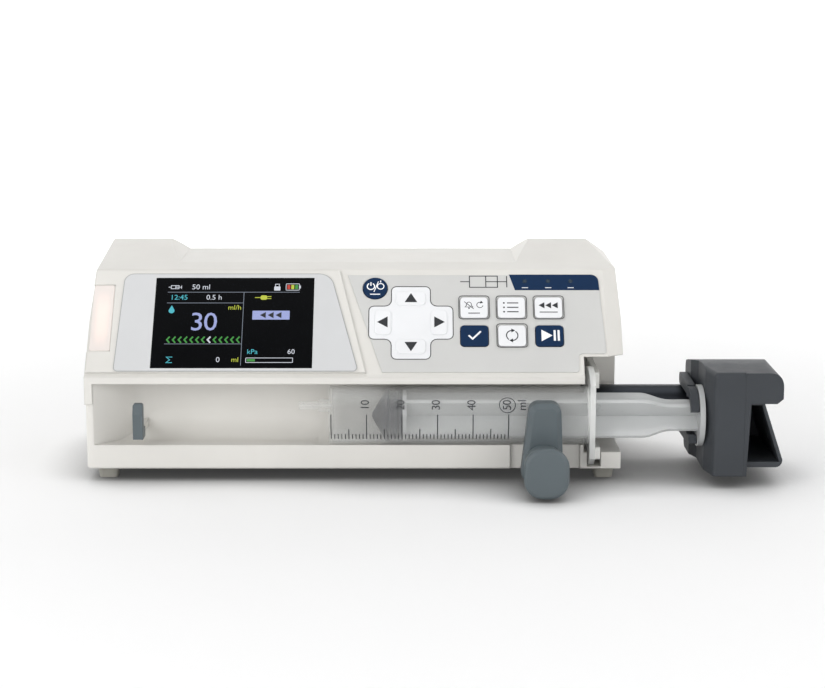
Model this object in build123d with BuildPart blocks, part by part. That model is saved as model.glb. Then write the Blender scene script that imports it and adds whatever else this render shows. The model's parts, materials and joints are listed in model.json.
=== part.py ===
from build123d import *
import math
import os

os.makedirs("parts", exist_ok=True)

# Syringe pump, 50 ml syringe loaded. Millimetres, +X to the right, +Y to the back, +Z up.
# The origin lies on the table, below the middle of the overall outline.

# ---------------------------------------------------------------- driving dimensions
overall_width = 350.0
case_left = -overall_width / 2
case_width = 272.0
case_right = case_left + case_width
case_front = -33.0
case_back = case_front + 105.0
base_z = 6.4
seam_z = 40.0
wall = 2.5
fit = 0.3
running = 0.05

# syringe bay between the front ledge and the lip of the panel
ledge_z = 18.9
bay_left = case_left + 4.0
bay_depth = 23.0
bay_wall_y = case_front + bay_depth
bay_slope = 18.0
bay_floor_radius = 14.0
notch_x = 76.6
notch_back_y = case_front + 52.0
notch_floor_z = 15.0
notch_roof_z = 62.8

# sloped panel
lip_y = case_front - 1.0
lip_z = 50.5
panel_y = case_front + 1.0
panel_z = 54.9
crease_y = case_front + 41.0
crease_z = 102.4
ridge_z = 110.3
recess_z = 104.2
panel_length = math.hypot(crease_y - panel_y, crease_z - panel_z)
panel_tilt = math.atan2(crease_y - panel_y, crease_z - panel_z)
panel = Plane(
    origin=(0, panel_y, panel_z),
    x_dir=(1, 0, 0),
    z_dir=(0, -math.cos(panel_tilt), math.sin(panel_tilt)),
)
plateau = 1.2
sheet = 0.5

# syringe, 50 ml
syringe_y = case_front + 7.0
syringe_z = 32.8
barrel_radius = 14.9
barrel_bore = 13.55
barrel_left = -52.0
barrel_right = 80.0
flange_left = 78.6
flange_right = 81.4
piston_right = -15.0
disc_left = 134.0
disc_right = 136.6

# drive
tube_y = case_front + 38.0
tube_z = 33.0
tube_radius = 9.0
screw_y = case_front + 66.0
guide_y = case_front + 86.0
guide_radius = 4.0
screw_radius = 4.0
carriage_left = -30.0
carriage_right = -5.0
frame_left = -60.0
frame_right = 67.0
gear_module = 0.8
gear_teeth = 30
pinion_teeth = 12
motor_z = tube_z + gear_module * (gear_teeth + pinion_teeth) / 2 + 0.1

# driver head
head_left = 137.0
head_seam = 155.0
cover_right = 158.0
hood_right = 173.8
head_front = case_front - 15.0
head_back = case_front + 50.0
head_bottom = 6.5
head_top = 59.0
head_crown_y = case_front + 31.0
head_crown_z = 56.7
head_back_z = 52.8
hollow_top = 51.3
hood_z = 43.5
lever_x = 160.0
lever_z = 47.5

# syringe clamp
clamp_x = 55.2
clamp_z = 13.4
clamp_rod_radius = 3.0
clamp_recess = 2.0
clamp_back_y = syringe_y - barrel_radius - fit
knob_front = case_front - 42.0


def block(x0, x1, y0, y1, z0, z1, mode=Mode.ADD):
    """Box between two corners, joined to the part being built."""
    with Locations(((x0 + x1) / 2, (y0 + y1) / 2, (z0 + z1) / 2)):
        Box(x1 - x0, y1 - y0, z1 - z0, mode=mode)


def rod_x(x0, x1, y, z, radius, mode=Mode.ADD):
    """Cylinder along X."""
    with Locations(((x0 + x1) / 2, y, z)):
        Cylinder(radius, x1 - x0, rotation=(0, 90, 0), mode=mode)


def rod_y(x, y0, y1, z, radius, mode=Mode.ADD):
    """Cylinder along Y."""
    with Locations((x, (y0 + y1) / 2, z)):
        Cylinder(radius, y1 - y0, rotation=(90, 0, 0), mode=mode)


# ---------------------------------------------------------------- lower case
bay_right = notch_x + 60
bay_mouth_y = case_front - 30
bay_end_radius = (bay_depth - bay_slope) / (1 - math.sqrt(0.5))
bay_end_x = bay_left + bay_slope + bay_end_radius * math.sqrt(0.5)
with BuildPart() as bay_space:
    block(bay_left, bay_right, bay_mouth_y, bay_wall_y, ledge_z, lip_z + 20)
    fillet(bay_space.faces().sort_by(Axis.Z)[0].edges().sort_by(Axis.Y)[-1], bay_floor_radius)
    # the left end slopes forwards at 45 degrees to meet the front
    with BuildSketch():
        with BuildLine():
            Polyline((bay_left, case_front), (bay_left, bay_mouth_y), (bay_right, bay_mouth_y),
                     (bay_right, bay_wall_y), (bay_end_x, bay_wall_y))
            CenterArc((bay_end_x, bay_wall_y - bay_end_radius), bay_end_radius, 90, 45)
            Line((bay_left + bay_slope, case_front + bay_slope), (bay_left, case_front))
        make_face()
    extrude(amount=lip_z + 30, mode=Mode.INTERSECT)

screw_spots = [
    (case_left + 7.5, case_back - 7.5),
    (case_left + 7.5, case_front + 40),
    (case_right - 7.5, case_back - 7.5),
    (case_right - 7.5, notch_back_y + 9),
]
boss_radius = 5.2
screw_hole = 1.6
inlet_x = -140.0
inlet_z = 23.5
inlet_width = 27.0
inlet_height = 20.0
data_x = -95.0
data_width = 31.0
data_height = 12.0
slot_left = flange_left - fit
slot_right = flange_right + 4.0
slot_floor = 7.6
recess_left = 39.4
recess_right = 74.8
hook_left = -150.0
hook_width = 5.0
hook_depth = 9.0
hook_bottom = 23.6
hook_front = case_front - 8.0

with BuildPart() as lower_case:
    block(case_left, case_right, case_front, case_back, base_z, seam_z)
    fillet(lower_case.edges().filter_by(Axis.Z), 3)
    fillet(lower_case.faces().sort_by(Axis.Z)[0].edges(), 1.2)
    # wall of the syringe bay, up to the lip
    block(bay_left, notch_x, case_front, bay_wall_y + wall, seam_z - 5, lip_z)
    add(bay_space.part, mode=Mode.SUBTRACT)
    # open corner at the right, with the small box below it
    block(notch_x, case_right + 1, case_front - 1, notch_back_y, notch_floor_z, lip_z, mode=Mode.SUBTRACT)
    block(case_right - 1.5, case_right + 1, case_front - 1, notch_back_y, base_z - 1, notch_floor_z,
          mode=Mode.SUBTRACT)
    block(slot_right, case_right + 1, case_front - 1, case_front + 1, base_z - 1, notch_floor_z,
          mode=Mode.SUBTRACT)
    # slot for the flange of the syringe and its clip
    block(slot_left, slot_right, case_front - 1, case_front + 27, slot_floor, lip_z, mode=Mode.SUBTRACT)
    # hollow inside
    block(case_left + wall, case_right - 4, notch_back_y + wall, case_back - wall, base_z + wall, seam_z,
          mode=Mode.SUBTRACT)
    block(case_left + wall, notch_x - wall, bay_wall_y + wall, notch_back_y + wall, base_z + wall, seam_z,
          mode=Mode.SUBTRACT)
    block(case_left + wall, notch_x - wall, case_front + 5, bay_wall_y + wall, base_z + wall, ledge_z - 3.5,
          mode=Mode.SUBTRACT)
    block(clamp_x - 3.3, clamp_x + 3.3, case_front + 5, bay_wall_y + wall, ledge_z - 4, clamp_z + 3.4,
          mode=Mode.SUBTRACT)
    # shallow trough under the barrel, with a run-in at its left
    rod_x(barrel_left - 6, notch_x + 1, syringe_y, syringe_z, barrel_radius, mode=Mode.SUBTRACT)
    with BuildSketch(Plane.YZ.offset(barrel_left - 16)) as run_in_small:
        with Locations((syringe_y, syringe_z)):
            Circle(barrel_radius - 2.5)
    with BuildSketch(Plane.YZ.offset(barrel_left - 6)) as run_in_large:
        with Locations((syringe_y, syringe_z)):
            Circle(barrel_radius)
    loft([run_in_small.sketch, run_in_large.sketch], mode=Mode.SUBTRACT)
    # stem that carries the tube hook
    block(hook_left + 1, hook_left + hook_width - 1, hook_front + hook_depth, bay_wall_y + 1,
          hook_bottom + 0.8, hook_bottom + 4.2)
    # flat recess in the ledge around the clamp, and the hole that guides its shaft
    block(recess_left, recess_right, case_front - 1, case_front + clamp_recess, base_z - 1, ledge_z + 1,
          mode=Mode.SUBTRACT)
    rod_y(clamp_x, case_front - 1, case_front + 6, clamp_z, clamp_rod_radius + running, mode=Mode.SUBTRACT)
    # hole for the drive tube's bushing
    rod_x(notch_x - wall - 1, notch_x + 1, tube_y, tube_z, tube_radius + 1.5, mode=Mode.SUBTRACT)
    # rear openings for the mains inlet and the data connector
    block(inlet_x - inlet_width / 2, inlet_x + inlet_width / 2, case_back - 5, case_back + 1,
          inlet_z - inlet_height / 2, inlet_z + inlet_height / 2, mode=Mode.SUBTRACT)
    block(data_x - data_width / 2, data_x + data_width / 2, case_back - 5, case_back + 1,
          inlet_z - data_height / 2, inlet_z + data_height / 2, mode=Mode.SUBTRACT)
    # screw bosses
    with Locations(*[(x, y, (base_z + seam_z) / 2) for x, y in screw_spots]):
        Cylinder(boss_radius, seam_z - base_z)
    with Locations(*[(x, y, base_z + 8) for x, y in screw_spots]):
        Cylinder(screw_hole, 80, mode=Mode.SUBTRACT)
    with Locations(*[(x, y, base_z) for x, y in screw_spots]):
        Cylinder(3.4, 6.0, mode=Mode.SUBTRACT)
    # vent slots in the floor
    with Locations((-20, 40, base_z)):
        with GridLocations(6, 0, 9, 1):
            Box(2.4, 30, 8, mode=Mode.SUBTRACT)
lower_case.part.label = "lower_case"
export_step(lower_case.part, "parts/lower_case.step")

# ---------------------------------------------------------------- upper case
with BuildSketch(Plane.YZ.offset(case_left)) as upper_outline:
    with BuildLine():
        Polyline(
            (lip_y, seam_z),
            (lip_y, lip_z + 3.4),
            (panel_y, panel_z),
            (crease_y, crease_z),
            (case_back, ridge_z + 1.0),
            (case_back, seam_z),
            close=True,
        )
    make_face()
    fillet(upper_outline.vertices().group_by(Axis.Y)[-1], 6)
    fillet(upper_outline.vertices().filter_by(
        lambda corner: abs(corner.Y - crease_z) < 0.1 and abs(corner.X - crease_y) < 0.1), 3)

with BuildPart() as upper_space:
    with BuildSketch(Plane.YZ.offset(case_left + 3.5)):
        add(upper_outline.sketch_local)
        offset(amount=-wall, kind=Kind.INTERSECTION, mode=Mode.REPLACE)
    extrude(amount=case_width - 12)
    block(case_left + wall, case_right - 4, bay_wall_y + wall, case_back - wall, seam_z - 1, seam_z + 12)
    # keeps a floor over the bay and walls around the notch
    block(case_left, case_right, lip_y, bay_wall_y + wall, seam_z - 1, lip_z + wall, mode=Mode.SUBTRACT)
    block(notch_x - wall, case_right + 1, lip_y, notch_back_y + wall, seam_z - 1, notch_roof_z + wall,
          mode=Mode.SUBTRACT)
    block(case_left, case_right, case_front, case_back, recess_z - wall, ridge_z + 2, mode=Mode.SUBTRACT)

# display plateau: higher than the keypad side, with a slanted right edge
plateau_left = case_left + 0.6
plateau_top = panel_length - 1.2
plateau_top_x = -47.5
plateau_bottom_x = -33.5
screen_left, screen_right = -142.0, -60.5
screen_bottom, screen_top = 2.9, 55.9
lens_left, lens_right = case_left, case_left + 12.0
lens_bottom, lens_top = 13.0, 52.0
lens_depth = 2.0

# keys: name, centre x, centre s up the panel, width, height, corner radius
key_width, key_height = 14.1, 12.1
key_columns = (21.5, 40.6, 59.6)
key_rows = (38.6, 22.1)
cross_x, cross_s = -10.8, 30.0
keys = [
    ("power_key", -29.2, 50.2, 12.5, 12.5, 6.2),
    ("up_key", cross_x, cross_s + 14.1, 15.2, 8.4, 2.5),
    ("down_key", cross_x, cross_s - 14.1, 15.2, 8.4, 2.5),
    ("left_key", cross_x - 14.3, cross_s, 8.4, 14.6, 2.5),
    ("right_key", cross_x + 14.3, cross_s, 8.4, 14.6, 2.5),
    ("clear_key", key_columns[0], key_rows[0], key_width, key_height, 2.0),
    ("menu_key", key_columns[1], key_rows[0], key_width, key_height, 2.0),
    ("bolus_key", key_columns[2], key_rows[0], key_width, key_height, 2.0),
    ("ok_key", key_columns[0], key_rows[1], key_width, key_height, 2.0),
    ("mode_key", key_columns[1], key_rows[1], key_width, key_height, 2.0),
    ("start_key", key_columns[2], key_rows[1], key_width, key_height, 2.0),
]
led_spots = [(47.9, 54.6), (59.9, 54.6), (71.5, 54.6)]
led_radius = 1.1
plate_x, plate_z = -10.0, 68.0
plate_width, plate_height, plate_thick = 96.0, 40.0, 3.0
plate_hole_x, plate_hole_z = 80.0, 24.0
thread_radius = 2.1
top_recess_left, top_recess_right = -132.3, 44.0
recess_side = 9.6
end_draft = 1.6
end_slope_width, end_slope_depth = 8.2, 4.6

with BuildPart() as upper_case:
    extrude(upper_outline.sketch, amount=case_width)
    with BuildSketch(panel):
        with BuildLine():
            Polyline(
                (plateau_left, 0.8),
                (plateau_bottom_x, 0.8),
                (plateau_top_x, plateau_top),
                (plateau_left, plateau_top),
                close=True,
            )
        make_face()
    extrude(amount=plateau)
    # sloping ends of the raised top
    for end_x, inner_x in ((case_right, case_right - 13.0), (case_left, case_left + 2.0)):
        side = 1 if end_x > 0 else -1
        with BuildSketch(Plane.XZ.offset(-case_back - 1)):
            with BuildLine():
                Polyline(
                    (end_x + side, notch_roof_z + 1),
                    (end_x - side * end_draft, crease_z),
                    (inner_x, ridge_z + 0.5),
                    (inner_x, ridge_z + 5),
                    (end_x + side, ridge_z + 5),
                    close=True,
                )
            make_face()
        extrude(amount=case_back - lip_y + 3, mode=Mode.SUBTRACT)
    # right margin of the panel, sloped back to the side
    with BuildSketch(Plane(origin=(0, panel_y, panel_z), x_dir=(1, 0, 0),
                           z_dir=(0, math.sin(panel_tilt), math.cos(panel_tilt)))):
        with BuildLine():
            Polyline(
                (case_right - end_slope_width, 0),
                (case_right, end_slope_depth),
                (case_right + 5, end_slope_depth),
                (case_right + 5, -5),
                (case_right - end_slope_width, -5),
                close=True,
            )
        make_face()
    extrude(amount=panel_length + 10, mode=Mode.SUBTRACT)
    # carrying recess between the raised ends
    with BuildSketch(Plane.XZ.offset(-case_back - 1)):
        with BuildLine():
            Polyline(
                (top_recess_left, recess_z),
                (top_recess_right, recess_z),
                (top_recess_right + recess_side, ridge_z + 0.2),
                (top_recess_right + recess_side, ridge_z + 5),
                (top_recess_left - recess_side, ridge_z + 5),
                (top_recess_left - recess_side, ridge_z + 0.2),
                close=True,
            )
        make_face()
    extrude(amount=case_back - crease_y + 1, mode=Mode.SUBTRACT)
    add(upper_space.part, mode=Mode.SUBTRACT)
    # syringe bay and notch
    block(bay_left, notch_x + 0.1, lip_y - 1, bay_wall_y + wall, seam_z - 1, lip_z, mode=Mode.SUBTRACT)
    block(notch_x, case_right + 1, lip_y - 1, notch_back_y, seam_z - 1, notch_roof_z, mode=Mode.SUBTRACT)
    # screen opening, lens pocket and key holes
    with BuildSketch(panel):
        with Locations(((screen_left + screen_right) / 2, (screen_bottom + screen_top) / 2)):
            Rectangle(screen_right - screen_left, screen_top - screen_bottom)
    extrude(amount=10, both=True, mode=Mode.SUBTRACT)
    with BuildSketch(panel.offset(plateau - lens_depth)):
        with Locations(((lens_left + lens_right) / 2 - 1, (lens_bottom + lens_top) / 2)):
            Rectangle(lens_right - lens_left + 2, lens_top - lens_bottom)
    extrude(amount=5, mode=Mode.SUBTRACT)
    for name, x, s, width, height, radius in keys:
        with BuildSketch(panel):
            with Locations((x, s)):
                RectangleRounded(width + 2 * fit, height + 2 * fit, radius + fit)
        extrude(amount=8, both=True, mode=Mode.SUBTRACT)
    with BuildSketch(panel):
        with Locations(*led_spots):
            Circle(led_radius)
    extrude(amount=8, both=True, mode=Mode.SUBTRACT)
    rod_x(notch_x - wall - 1, notch_x + 1, tube_y, tube_z, tube_radius + 1.5, mode=Mode.SUBTRACT)
    # screw bosses and the threaded holes' clearance behind the mounting plate
    with Locations(*[(x, y, seam_z + 9) for x, y in screw_spots]):
        Cylinder(boss_radius, 18)
    with Locations(*[(x, y, seam_z + 4) for x, y in screw_spots]):
        Cylinder(1.5, 12, mode=Mode.SUBTRACT)
    with BuildSketch(Plane.XZ.offset(-case_back)):
        with Locations((plate_x, plate_z)):
            with GridLocations(plate_hole_x, plate_hole_z, 2, 2):
                Circle(thread_radius + 0.6)
    extrude(amount=6, both=True, mode=Mode.SUBTRACT)
upper_case.part.label = "upper_case"
export_step(upper_case.part, "parts/upper_case.step")

# ---------------------------------------------------------------- alarm light lens
with BuildPart() as alarm_light_lens:
    with BuildSketch(panel.offset(plateau - lens_depth)):
        with Locations(((lens_left + lens_right) / 2 + 0.7, (lens_bottom + lens_top) / 2)):
            RectangleRounded(lens_right - lens_left - 1.4, lens_top - lens_bottom, 1.2)
    extrude(amount=lens_depth)
    fillet(alarm_light_lens.faces().sort_by(Axis.Y)[0].edges(), 0.6)
alarm_light_lens.part.label = "alarm_light_lens"
export_step(alarm_light_lens.part, "parts/alarm_light_lens.step")

# ---------------------------------------------------------------- display
print_low, print_high = 1.3, 58.3
label_foot_left, label_foot_right = -160.4, -37.4
label_top_left, label_top_right = -158.2, -52.2
with BuildPart() as display_label:
    with BuildSketch(panel.offset(plateau)) as display_outline:
        with BuildLine():
            Polyline(
                (label_foot_left, print_low),
                (label_foot_right, print_low),
                (label_top_right, print_high),
                (label_top_left, print_high),
                close=True,
            )
        make_face()
        label_corners = display_outline.vertices().sort_by(Axis.X)
        fillet([label_corners[0], label_corners[-1]], 2)
        fillet(display_outline.vertices().group_by(Axis.Y)[-1].sort_by(Axis.X)[0], 5)
        fillet(display_outline.vertices().group_by(Axis.Y)[-1].sort_by(Axis.X)[-1], 8)
        with Locations(((screen_left + screen_right) / 2, (screen_bottom + screen_top) / 2)):
            Rectangle(screen_right - screen_left, screen_top - screen_bottom, mode=Mode.SUBTRACT)
    extrude(amount=sheet)
display_label.part.label = "display_label"
export_step(display_label.part, "parts/display_label.step")

with BuildPart() as display_window:
    with BuildSketch(panel.offset(plateau + sheet - 1.6)):
        with Locations(((screen_left + screen_right) / 2, (screen_bottom + screen_top) / 2)):
            Rectangle(screen_right - screen_left, screen_top - screen_bottom)
    extrude(amount=1.6)
display_window.part.label = "display_window"
export_step(display_window.part, "parts/display_window.step")

with BuildPart() as lcd_module:
    with BuildSketch(panel.offset(-wall)):
        with Locations(((screen_left + screen_right) / 2, (screen_bottom + screen_top) / 2 + 1.0)):
            Rectangle(screen_right - screen_left + 4, screen_top - screen_bottom - 1)
    extrude(amount=-4.0)
lcd_module.part.label = "lcd_module"
export_step(lcd_module.part, "parts/lcd_module.step")

# ---------------------------------------------------------------- keypad
overlay_top_left, overlay_foot_left = -43.4, -25.3
overlay_step_x, overlay_step_s = 74.1, 12.0
overlay_right, overlay_top_right = 88.3, 85.6
strip_low, strip_high = 49.2, 58.6
strip_top_left, strip_foot_left = 39.8, 42.7
strip_foot_right, strip_top_right = 86.2, 85.7
strip_corner = 4.0

with BuildPart() as keypad_overlay:
    with BuildSketch(panel) as overlay_outline:
        with BuildLine():
            Polyline(
                (overlay_top_left, print_high),
                (overlay_foot_left, print_low),
                (overlay_step_x, print_low),
                (overlay_step_x, overlay_step_s),
                (overlay_right, overlay_step_s),
                (overlay_top_right, print_high),
                close=True,
            )
        make_face()
        step_corners = overlay_outline.vertices().sort_by(Axis.X)[-4:]
        fillet(step_corners.sort_by(Axis.Y)[:3], 1.8)
        with BuildLine():
            Polyline(
                (strip_top_left, strip_high),
                (strip_foot_left, strip_low),
                (strip_foot_right + 5, strip_low),
                (strip_foot_right + 5, strip_high),
                close=True,
            )
        make_face(mode=Mode.SUBTRACT)
        for name, x, s, width, height, radius in keys:
            with Locations((x, s)):
                RectangleRounded(width + 2 * fit, height + 2 * fit, radius + fit, mode=Mode.SUBTRACT)
    extrude(amount=sheet)
keypad_overlay.part.label = "keypad_overlay"
export_step(keypad_overlay.part, "parts/keypad_overlay.step")

with BuildPart() as indicator_strip:
    with BuildSketch(panel) as strip_outline:
        with BuildLine():
            Polyline(
                (strip_top_left, strip_high),
                (strip_foot_left, strip_low),
                (strip_foot_right, strip_low),
                (strip_top_right, strip_high),
                close=True,
            )
        make_face()
        fillet(strip_outline.vertices().group_by(Axis.Y)[-1].sort_by(Axis.X)[-1], strip_corner)
        with Locations(*led_spots):
            Circle(led_radius, mode=Mode.SUBTRACT)
    extrude(amount=sheet)
indicator_strip.part.label = "indicator_strip"
export_step(indicator_strip.part, "parts/indicator_strip.step")

board_depth = 5.8
with BuildPart() as indicator_leds:
    with BuildSketch(panel.offset(-board_depth)):
        with Locations(*led_spots):
            Circle(led_radius)
    extrude(amount=board_depth + sheet + 0.1)
indicator_leds.part.label = "indicator_leds"
export_step(indicator_leds.part, "parts/indicator_leds.step")

key_top = sheet + 0.7
key_foot = 3.9
key_travel = 0.6
for name, x, s, width, height, radius in keys:
    with BuildPart() as key:
        with BuildSketch(panel.offset(-key_foot)):
            with Locations((x, s)):
                RectangleRounded(width, height, radius)
        extrude(amount=key_foot + key_top)
        with BuildSketch(panel.offset(-key_foot)):
            with Locations((x, s)):
                RectangleRounded(width + 2, height + 2, radius + 1)
        extrude(amount=key_foot - wall - 0.1)
        fillet(key.faces().sort_by(Axis((0, 0, 0), panel.z_dir))[-1].edges(), 0.4)
    key.part.label = name
    export_step(key.part, f"parts/{name}.step")

with BuildPart() as keypad_board:
    with BuildSketch(panel.offset(-board_depth)):
        with Locations((15.5, 31)):
            Rectangle(113, 52)
    extrude(amount=-1.6)
keypad_board.part.label = "keypad_board"
export_step(keypad_board.part, "parts/keypad_board.step")

with BuildPart() as key_domes:
    with BuildSketch(panel.offset(-board_depth)):
        with Locations(*[(x, s) for name, x, s, width, height, radius in keys]):
            Circle(3.0)
    extrude(amount=board_depth - key_foot - key_travel - fit)
key_domes.part.label = "key_domes"
export_step(key_domes.part, "parts/key_domes.step")

# ---------------------------------------------------------------- feet and screws
foot_spots = [
    (case_left + 9.5, case_front + 13),
    (case_right - 9.5, case_front + 13),
    (case_left + 9.5, case_back - 20),
    (case_right - 9.5, case_back - 20),
]
with BuildPart() as feet:
    for x, y in foot_spots:
        with BuildSketch(Plane.XY) as foot_base:
            with Locations((x, y)):
                RectangleRounded(9.0, 10.0, 2.0)
        with BuildSketch(Plane.XY.offset(base_z)) as foot_top:
            with Locations((x, y)):
                RectangleRounded(11.0, 12.0, 2.5)
        loft([foot_base.sketch, foot_top.sketch])
feet.part.label = "feet"
export_step(feet.part, "parts/feet.step")

with BuildPart() as case_screws:
    with Locations(*[(x, y, base_z + 1.9) for x, y in screw_spots]):
        Cylinder(3.2, 2.2)
    with Locations(*[(x, y, (base_z + seam_z) / 2 + 4) for x, y in screw_spots]):
        Cylinder(1.5, seam_z - base_z + 6)
    with Locations(*[(x, y, base_z + 0.8) for x, y in screw_spots]):
        Box(3.6, 0.9, 1.2, mode=Mode.SUBTRACT)
        Box(0.9, 3.6, 1.2, mode=Mode.SUBTRACT)
case_screws.part.label = "case_screws"
export_step(case_screws.part, "parts/case_screws.step")

# ---------------------------------------------------------------- rear fittings
with BuildPart() as mount_plate:
    with BuildSketch(Plane.XZ.offset(-case_back)):
        with Locations((plate_x, plate_z)):
            RectangleRounded(plate_width, plate_height, 5)
            with GridLocations(plate_hole_x, plate_hole_z, 2, 2):
                Circle(thread_radius, mode=Mode.SUBTRACT)
    extrude(amount=-plate_thick)
    with BuildSketch(Plane.XZ.offset(-case_back)):
        with Locations((plate_x, plate_z)):
            with GridLocations(plate_hole_x, plate_hole_z, 2, 2):
                Circle(thread_radius + 0.6)
                Circle(thread_radius, mode=Mode.SUBTRACT)
    extrude(amount=wall)
mount_plate.part.label = "mount_plate"
export_step(mount_plate.part, "parts/mount_plate.step")

inlet_depth = 22.0
pin_size = 2.0
with BuildPart() as mains_inlet:
    block(inlet_x - inlet_width / 2, inlet_x + inlet_width / 2, case_back - inlet_depth, case_back,
          inlet_z - inlet_height / 2, inlet_z + inlet_height / 2)
    block(inlet_x - inlet_width / 2 - 2.5, inlet_x + inlet_width / 2 + 2.5, case_back, case_back + 1.5,
          inlet_z - inlet_height / 2 - 1.5, inlet_z + inlet_height / 2 + 1.5)
    with BuildSketch(Plane.XZ.offset(-case_back - 1.5)):
        with BuildLine():
            Polyline(
                (inlet_x - 11.5, inlet_z - 7.5),
                (inlet_x + 11.5, inlet_z - 7.5),
                (inlet_x + 11.5, inlet_z + 3.5),
                (inlet_x + 7.0, inlet_z + 8.0),
                (inlet_x - 7.0, inlet_z + 8.0),
                (inlet_x - 11.5, inlet_z + 3.5),
                close=True,
            )
        make_face()
    extrude(amount=17.5, mode=Mode.SUBTRACT)
    for pin_x, pin_z in ((-7.0, -1.5), (7.0, -1.5), (0.0, 2.5)):
        block(inlet_x + pin_x - pin_size / 2, inlet_x + pin_x + pin_size / 2, case_back - 17, case_back - 5,
              inlet_z + pin_z - pin_size, inlet_z + pin_z + pin_size)
mains_inlet.part.label = "mains_inlet"
export_step(mains_inlet.part, "parts/mains_inlet.step")

with BuildPart() as data_connector:
    block(data_x - data_width / 2, data_x + data_width / 2, case_back - 8, case_back + 1.0,
          inlet_z - data_height / 2, inlet_z + data_height / 2)
    with BuildSketch(Plane.XZ.offset(-case_back - 1)):
        with Locations((data_x, inlet_z)):
            Trapezoid(17.0, 8.4, 80, rotation=180)
    extrude(amount=6, mode=Mode.SUBTRACT)
    with Locations((data_x - 12.5, case_back, inlet_z), (data_x + 12.5, case_back, inlet_z)):
        Cylinder(1.3, 6, rotation=(90, 0, 0), mode=Mode.SUBTRACT)
data_connector.part.label = "data_connector"
export_step(data_connector.part, "parts/data_connector.step")

# ---------------------------------------------------------------- electronics
cell_left = case_left + 15
supply_right = cell_left + 48
cell_right = cell_left + 55
with BuildPart() as power_supply:
    block(cell_left, supply_right, 8, 47, base_z + wall, 50)
power_supply.part.label = "power_supply"
export_step(power_supply.part, "parts/power_supply.step")

with BuildPart() as battery_pack:
    block(cell_left, cell_right, bay_wall_y + wall + 0.5, 6, base_z + wall, 48)
    fillet(battery_pack.edges().filter_by(Axis.X), 5)
battery_pack.part.label = "battery_pack"
export_step(battery_pack.part, "parts/battery_pack.step")

board_z = 73.0
with BuildPart() as main_board:
    block(-100, 60, 15, 66, board_z, board_z + 1.6)
    with Locations((-60, 40, board_z + 3.0), (-20, 35, board_z + 3.0), (30, 48, board_z + 3.0)):
        Box(18, 18, 3.0)
main_board.part.label = "main_board"
export_step(main_board.part, "parts/main_board.step")

with BuildPart() as speaker:
    with Locations((-88, 12, base_z + wall + 4)):
        Cylinder(14, 8)
        Cone(11, 5, 4, align=(Align.CENTER, Align.CENTER, Align.MAX), mode=Mode.SUBTRACT)
speaker.part.label = "speaker"
export_step(speaker.part, "parts/speaker.step")

# ---------------------------------------------------------------- drive train
floor_z = base_z + wall
plate_gauge = 3.0
bearing_radius = 8.0
with BuildPart() as drive_frame:
    block(frame_left, frame_right, screw_y - 16, guide_y + 8, floor_z, floor_z + 2.5)
    for left in (frame_left, frame_right - plate_gauge):
        block(left, left + plate_gauge, screw_y - 16, guide_y + 8, floor_z, 46)
        rod_x(left - 1, left + plate_gauge + 1, screw_y, tube_z, bearing_radius, mode=Mode.SUBTRACT)
        rod_x(left - 1, left + plate_gauge + 1, guide_y, tube_z, guide_radius, mode=Mode.SUBTRACT)
    block(frame_left, frame_left + plate_gauge, screw_y - 18, screw_y + 18, 42, motor_z + 18)
    rod_x(frame_left - 1, frame_left + plate_gauge + 1, screw_y, motor_z, 6, mode=Mode.SUBTRACT)
    # leaves room for the guide of the syringe clamp
    block(clamp_x - 9, frame_right - plate_gauge, screw_y - 17, screw_y + 2, floor_z - 1, floor_z + 3,
          mode=Mode.SUBTRACT)
drive_frame.part.label = "drive_frame"
export_step(drive_frame.part, "parts/drive_frame.step")

with BuildPart() as guide_rod:
    rod_x(frame_left - 2, frame_right + 2, guide_y, tube_z, guide_radius)
    chamfer(guide_rod.edges().filter_by(GeomType.CIRCLE), 0.5)
guide_rod.part.label = "guide_rod"
export_step(guide_rod.part, "parts/guide_rod.step")

with BuildPart() as screw_bearings:
    for left in (frame_left, frame_right - plate_gauge):
        rod_x(left, left + plate_gauge, screw_y, tube_z, bearing_radius)
        rod_x(left - 1, left + plate_gauge + 1, screw_y, tube_z, screw_radius + running, mode=Mode.SUBTRACT)
screw_bearings.part.label = "screw_bearings"
export_step(screw_bearings.part, "parts/screw_bearings.step")

with BuildPart() as lead_screw:
    rod_x(frame_left, frame_right + 3, screw_y, tube_z, screw_radius)
    chamfer(lead_screw.edges().filter_by(GeomType.CIRCLE), 0.6)
lead_screw.part.label = "lead_screw"
export_step(lead_screw.part, "parts/lead_screw.step")


def gear_outline(teeth, phase):
    """Corner points of a gear with straight-sided teeth, thinner than half the pitch to leave backlash."""
    pitch_radius = gear_module * teeth / 2
    points = []
    for tooth in range(teeth):
        centre = 2 * math.pi * (tooth + phase) / teeth
        for reach, share in ((-1.25, -0.34), (0.9, -0.13), (0.9, 0.13), (-1.25, 0.34)):
            radius = pitch_radius + reach * gear_module
            angle = centre + share * math.pi * 2 / teeth
            points.append((radius * math.cos(angle), radius * math.sin(angle)))
    return points


gear_left = frame_left + plate_gauge + 1.0
gear_face = 5.0
with BuildPart() as screw_gear:
    # thirty teeth at a phase of half a tooth put one straight up, towards the pinion
    with BuildSketch(Plane((gear_left, screw_y, tube_z), x_dir=(0, 1, 0), z_dir=(1, 0, 0))):
        with BuildLine():
            Polyline(*gear_outline(gear_teeth, 0.5), close=True)
        make_face()
        Circle(screw_radius, mode=Mode.SUBTRACT)
    extrude(amount=gear_face)
screw_gear.part.label = "screw_gear"
export_step(screw_gear.part, "parts/screw_gear.step")

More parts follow.
